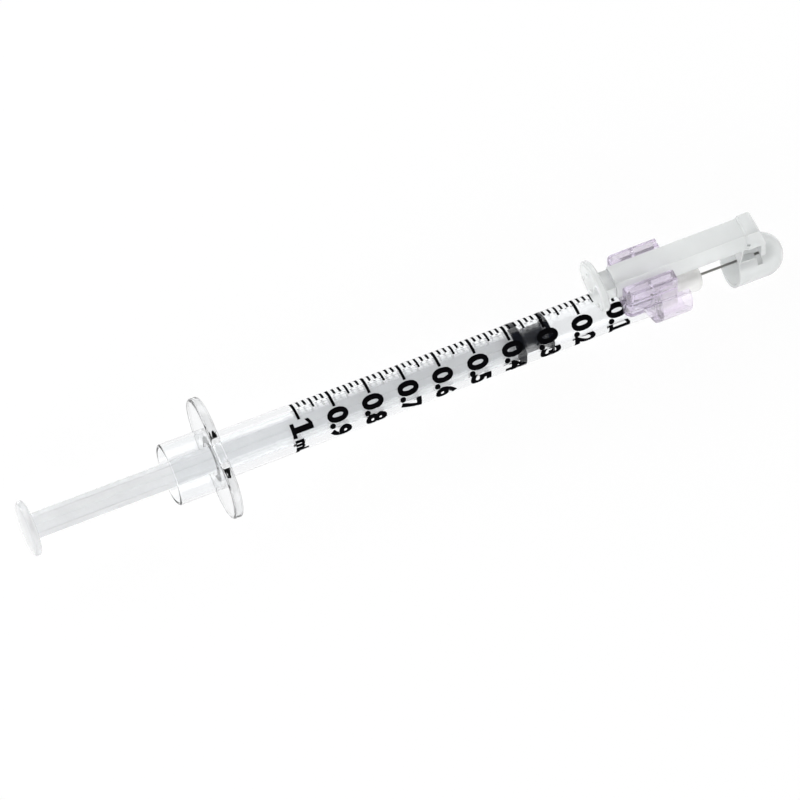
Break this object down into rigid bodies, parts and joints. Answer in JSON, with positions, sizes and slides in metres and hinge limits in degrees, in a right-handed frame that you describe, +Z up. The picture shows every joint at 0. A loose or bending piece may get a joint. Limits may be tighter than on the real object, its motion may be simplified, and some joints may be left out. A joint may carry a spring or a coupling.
{
  "type": "safety syringe",
  "caption": "Slim hypodermic syringe with a fixed needle, a ribbed plunger, an oval finger flange and a sliding shield that covers the needle tip.",
  "frame": {"origin": "on the bore axis at the front face of the finger flange", "axes": "+X along the bore towards the needle, +Z up with the syringe lying on its side, Y along the finger flange's long axis"},
  "size_m": [0.1233, 0.0192, 0.0159],
  "materials": {
    "barrel_clear": "clear moulded plastic, glossy",
    "plunger_plastic": "natural plastic, half clear, smooth",
    "stopper_rubber": "dark rubber with a film of silicone oil",
    "hub_plastic": "milky plastic, satin",
    "needle_steel": "drawn stainless steel",
    "glue_clear": "cured clear glue",
    "collar_tint": "clear plastic with a faint lilac tint, glossy",
    "shield_plastic": "milky plastic, satin"
  },
  "bodies": {
    "barrel_body": {"barrel": "barrel_clear", "needle_hub": "hub_plastic", "cannula": "needle_steel", "hub_glue": "glue_clear", "safety_collar": "collar_tint"},
    "plunger": {"plunger_rod": "plunger_plastic", "stopper": "stopper_rubber"},
    "shield": {"safety_shield": "shield_plastic"}
  },
  "joints": [
    {"name": "plunger_slide", "type": "slide", "parent": "barrel_body", "child": "plunger", "axis": [1, 0, 0], "range_m": [-0.0408, 0.0158]},
    {"name": "shield_slide", "type": "slide", "parent": "barrel_body", "child": "shield", "axis": [1, 0, 0], "range_m": [-0.0113, 0]}
  ]
}
